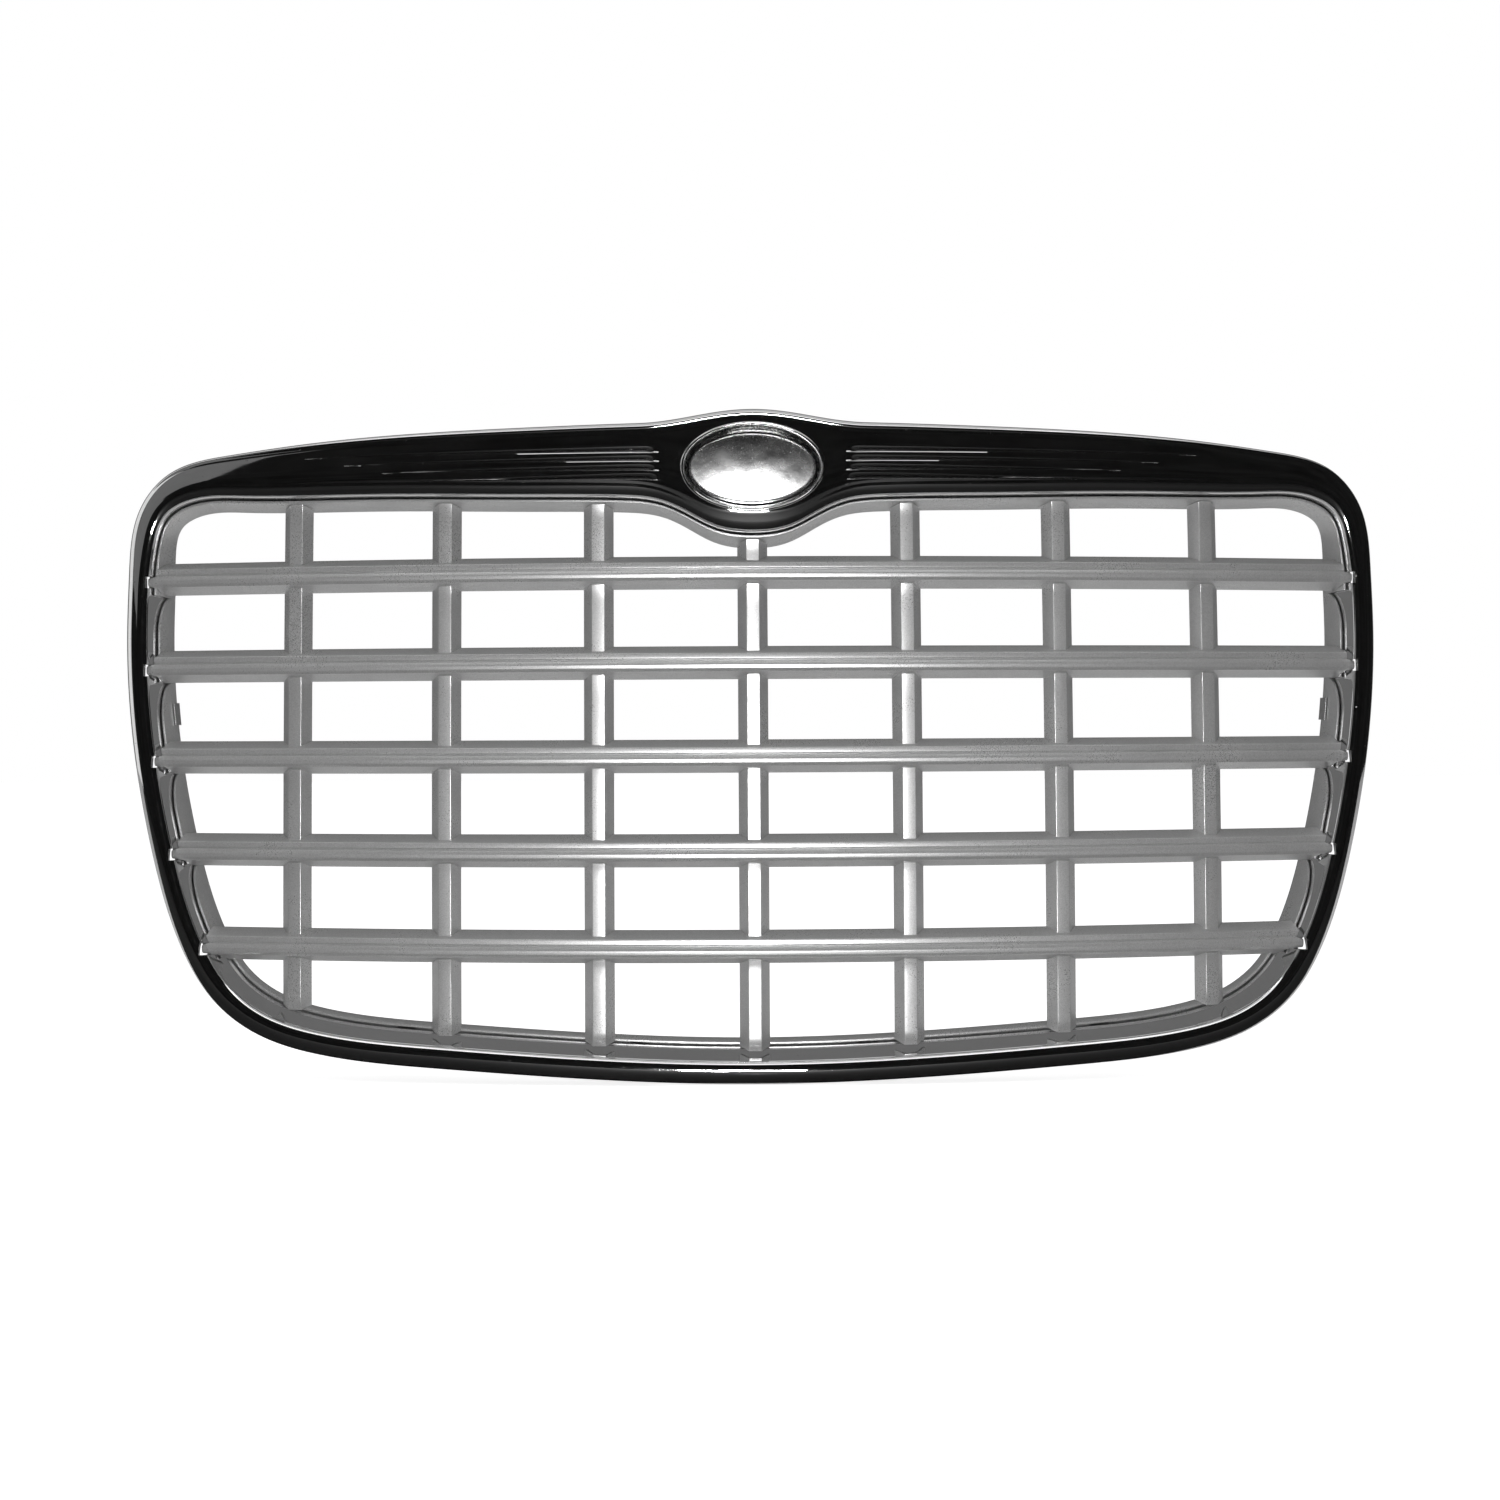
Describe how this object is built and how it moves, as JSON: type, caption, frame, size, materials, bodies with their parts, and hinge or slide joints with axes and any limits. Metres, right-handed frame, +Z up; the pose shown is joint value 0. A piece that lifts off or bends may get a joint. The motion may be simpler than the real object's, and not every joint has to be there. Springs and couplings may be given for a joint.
{
  "type": "front grille",
  "caption": "Car front grille: chrome surround with a tall grooved header and a blank oval medallion, round a satin silver lattice of bowed louvres over set-back mullions.",
  "frame": {"origin": "centre of the whole grille's bounding box", "axes": "+X across the grille, to the right as seen from in front; +Z up; the front faces -Y"},
  "size_m": [0.8384, 0.1109, 0.4371],
  "materials": {
    "chrome": "bright mirror chrome over moulded plastic",
    "satin_silver": "satin metallic silver paint",
    "zinc_steel": "bright zinc plating"
  },
  "bodies": {
    "root": {"surround_shell": "chrome", "insert_frame": "satin_silver", "louvre_1": "satin_silver", "louvre_2": "satin_silver", "louvre_3": "satin_silver", "louvre_4": "satin_silver", "louvre_5": "satin_silver", "mullion_1": "satin_silver", "mullion_2": "satin_silver", "mullion_3": "satin_silver", "mullion_4": "satin_silver", "mullion_5": "satin_silver", "mullion_6": "satin_silver", "mullion_7": "satin_silver", "medallion_bezel": "chrome", "medallion_disc": "chrome", "medallion_push_nut_left": "zinc_steel", "medallion_push_nut_right": "zinc_steel", "insert_screw_1": "zinc_steel", "insert_screw_2": "zinc_steel", "insert_screw_3": "zinc_steel", "insert_screw_4": "zinc_steel", "insert_screw_5": "zinc_steel", "insert_screw_6": "zinc_steel", "insert_screw_7": "zinc_steel", "insert_screw_8": "zinc_steel", "side_clip_left": "zinc_steel", "side_clip_right": "zinc_steel", "spring_nut_1": "zinc_steel", "spring_nut_2": "zinc_steel", "spring_nut_3": "zinc_steel", "spring_nut_4": "zinc_steel", "spring_nut_5": "zinc_steel", "spring_nut_6": "zinc_steel"}
  },
  "joints": []
}
